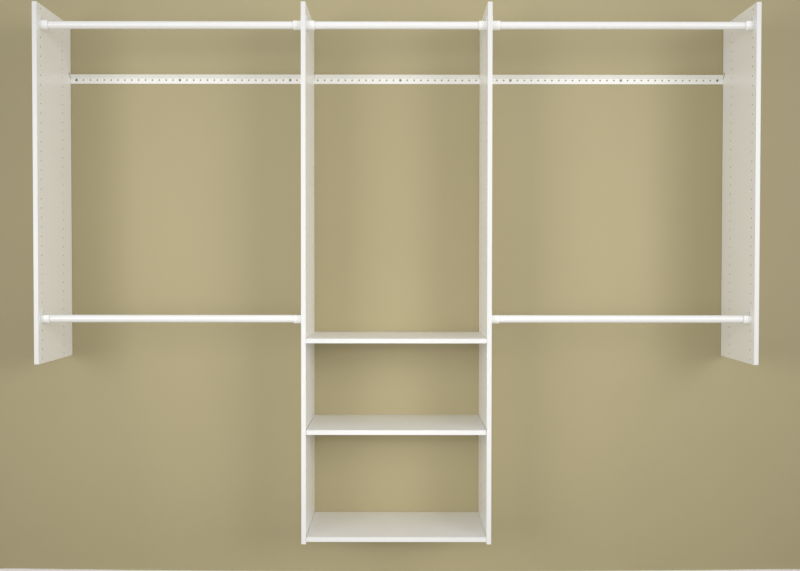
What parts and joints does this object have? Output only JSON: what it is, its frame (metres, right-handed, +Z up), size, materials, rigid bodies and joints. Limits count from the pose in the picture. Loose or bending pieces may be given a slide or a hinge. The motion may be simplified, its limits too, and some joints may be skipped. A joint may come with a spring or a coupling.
{
  "type": "wall mounted closet system",
  "caption": "Closet organiser on a wall rail: drilled end panels, a taller shelf tower between them, and closet rods in open sockets.",
  "frame": {"origin": "on the wall's face, at the middle of the rail's length and at the height of its screw holes", "axes": "+X to the right along the rail, +Y into the wall, +Z up; the open front faces -Y"},
  "size_m": [2.4384, 0.4168, 1.824],
  "materials": {
    "white_melamine": "white melamine on particle board, satin",
    "rail_enamel": "cream white powder coat, satin",
    "rod_enamel": "white enamel, semi-gloss",
    "socket_plastic": "white moulded plastic, semi-gloss",
    "dark_steel": "dark phosphate",
    "screw_steel": "zinc plated",
    "cam_metal": "zinc die casting, satin"
  },
  "bodies": {
    "carcass": {"cam_post_bottom_back_left": "cam_metal", "cam_post_bottom_back_right": "cam_metal", "cam_post_bottom_front_left": "cam_metal", "cam_post_bottom_front_right": "cam_metal", "cam_post_upper_back_left": "cam_metal", "cam_post_upper_back_right": "cam_metal", "cam_post_upper_front_left": "cam_metal", "cam_post_upper_front_right": "cam_metal", "panel_end_left": "white_melamine", "panel_end_right": "white_melamine", "panel_tower_left": "white_melamine", "panel_tower_right": "white_melamine", "rod_socket_lower_left_1": "socket_plastic", "rod_socket_lower_left_2": "socket_plastic", "rod_socket_lower_right_1": "socket_plastic", "rod_socket_lower_right_2": "socket_plastic", "rod_socket_upper_centre_1": "socket_plastic", "rod_socket_upper_centre_2": "socket_plastic", "rod_socket_upper_left_1": "socket_plastic", "rod_socket_upper_left_2": "socket_plastic", "rod_socket_upper_right_1": "socket_plastic", "rod_socket_upper_right_2": "socket_plastic", "shelf_bottom": "white_melamine", "shelf_pin_back_left": "screw_steel", "shelf_pin_back_right": "screw_steel", "shelf_pin_front_left": "screw_steel", "shelf_pin_front_right": "screw_steel", "shelf_upper": "white_melamine", "socket_screw_lower_left_1": "screw_steel", "socket_screw_lower_left_2": "screw_steel", "socket_screw_lower_right_1": "screw_steel", "socket_screw_lower_right_2": "screw_steel", "socket_screw_upper_centre_1": "screw_steel", "socket_screw_upper_centre_2": "screw_steel", "socket_screw_upper_left_1": "screw_steel", "socket_screw_upper_left_2": "screw_steel", "socket_screw_upper_right_1": "screw_steel", "socket_screw_upper_right_2": "screw_steel", "wall_rail": "rail_enamel", "wall_screw_1": "dark_steel", "wall_screw_2": "dark_steel", "wall_screw_3": "dark_steel", "wall_screw_4": "dark_steel", "wall_screw_5": "dark_steel", "wall_screw_6": "dark_steel", "wall_screw_7": "dark_steel"},
    "upper_left_rod": {"rod_upper_left": "rod_enamel"},
    "upper_centre_rod": {"rod_upper_centre": "rod_enamel"},
    "upper_right_rod": {"rod_upper_right": "rod_enamel"},
    "lower_left_rod": {"rod_lower_left": "rod_enamel"},
    "lower_right_rod": {"rod_lower_right": "rod_enamel"},
    "middle_shelf": {"shelf_middle": "white_melamine"},
    "upper_front_left_cam": {"cam_lock_upper_front_left": "cam_metal"},
    "upper_front_right_cam": {"cam_lock_upper_front_right": "cam_metal"},
    "upper_back_left_cam": {"cam_lock_upper_back_left": "cam_metal"},
    "upper_back_right_cam": {"cam_lock_upper_back_right": "cam_metal"},
    "bottom_front_left_cam": {"cam_lock_bottom_front_left": "cam_metal"},
    "bottom_front_right_cam": {"cam_lock_bottom_front_right": "cam_metal"},
    "bottom_back_left_cam": {"cam_lock_bottom_back_left": "cam_metal"},
    "bottom_back_right_cam": {"cam_lock_bottom_back_right": "cam_metal"}
  },
  "joints": [
    {"name": "upper_left_rod_lift", "type": "slide", "parent": "carcass", "child": "upper_left_rod", "axis": [0, 0, 1], "range_m": [0, 0.05]},
    {"name": "upper_centre_rod_lift", "type": "slide", "parent": "carcass", "child": "upper_centre_rod", "axis": [0, 0, 1], "range_m": [0, 0.05]},
    {"name": "upper_right_rod_lift", "type": "slide", "parent": "carcass", "child": "upper_right_rod", "axis": [0, 0, 1], "range_m": [0, 0.05]},
    {"name": "lower_left_rod_lift", "type": "slide", "parent": "carcass", "child": "lower_left_rod", "axis": [0, 0, 1], "range_m": [0, 0.05]},
    {"name": "lower_right_rod_lift", "type": "slide", "parent": "carcass", "child": "lower_right_rod", "axis": [0, 0, 1], "range_m": [0, 0.05]},
    {"name": "middle_shelf_pull", "type": "slide", "parent": "carcass", "child": "middle_shelf", "axis": [0, -1, 0], "range_m": [0, 0.3]},
    {"name": "upper_front_left_cam_turn", "type": "hinge", "parent": "carcass", "child": "upper_front_left_cam", "pos_m": [-0.2805, -0.3186, -0.94394], "axis": [0, 0, 1], "range_deg": [0, 180]},
    {"name": "upper_front_right_cam_turn", "type": "hinge", "parent": "carcass", "child": "upper_front_right_cam", "pos_m": [0.2805, -0.3186, -0.94394], "axis": [0, 0, 1], "range_deg": [0, 180]},
    {"name": "upper_back_left_cam_turn", "type": "hinge", "parent": "carcass", "child": "upper_back_left_cam", "pos_m": [-0.2805, -0.0946, -0.94394], "axis": [0, 0, 1], "range_deg": [0, 180]},
    {"name": "upper_back_right_cam_turn", "type": "hinge", "parent": "carcass", "child": "upper_back_right_cam", "pos_m": [0.2805, -0.0946, -0.94394], "axis": [0, 0, 1], "range_deg": [0, 180]},
    {"name": "bottom_front_left_cam_turn", "type": "hinge", "parent": "carcass", "child": "bottom_front_left_cam", "pos_m": [-0.2805, -0.3186, -1.61594], "axis": [0, 0, 1], "range_deg": [0, 180]},
    {"name": "bottom_front_right_cam_turn", "type": "hinge", "parent": "carcass", "child": "bottom_front_right_cam", "pos_m": [0.2805, -0.3186, -1.61594], "axis": [0, 0, 1], "range_deg": [0, 180]},
    {"name": "bottom_back_left_cam_turn", "type": "hinge", "parent": "carcass", "child": "bottom_back_left_cam", "pos_m": [-0.2805, -0.0946, -1.61594], "axis": [0, 0, 1], "range_deg": [0, 180]},
    {"name": "bottom_back_right_cam_turn", "type": "hinge", "parent": "carcass", "child": "bottom_back_right_cam", "pos_m": [0.2805, -0.0946, -1.61594], "axis": [0, 0, 1], "range_deg": [0, 180]}
  ]
}
